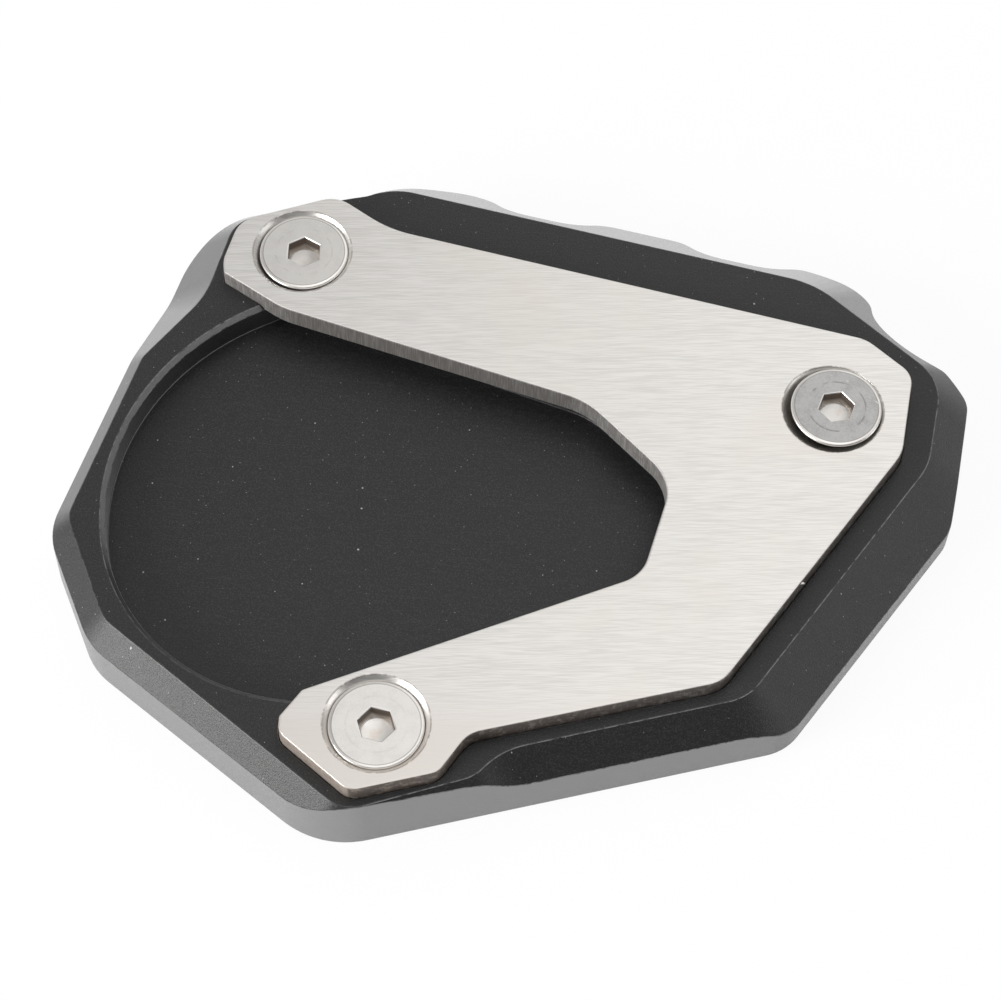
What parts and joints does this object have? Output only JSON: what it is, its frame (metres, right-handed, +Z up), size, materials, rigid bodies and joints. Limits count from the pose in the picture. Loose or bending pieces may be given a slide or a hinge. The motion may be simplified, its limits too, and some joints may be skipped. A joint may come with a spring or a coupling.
{
  "type": "side stand foot enlarger",
  "caption": "Milled anodised sole with a pocket for a side stand's foot, and a steel clamp plate screwed down over it.",
  "frame": {"origin": "middle of the bounding box at the underside of the sole, on the ground", "axes": "+Z up through the clamp plate, +X along the longest side towards the end of the sole where the clamp plate's arms join, +Y towards the waved far side"},
  "size_m": [0.1162, 0.0946, 0.0126],
  "materials": {
    "black_anodised": "black anodised, satin, fine machined grain",
    "plate_steel": "brushed along its length, upper edge deburred",
    "screw_steel": "plain turned steel, lightly marked"
  },
  "bodies": {
    "root": {"base_plate": "black_anodised", "clamp_plate": "plate_steel", "clamp_screws": "screw_steel"}
  },
  "joints": []
}
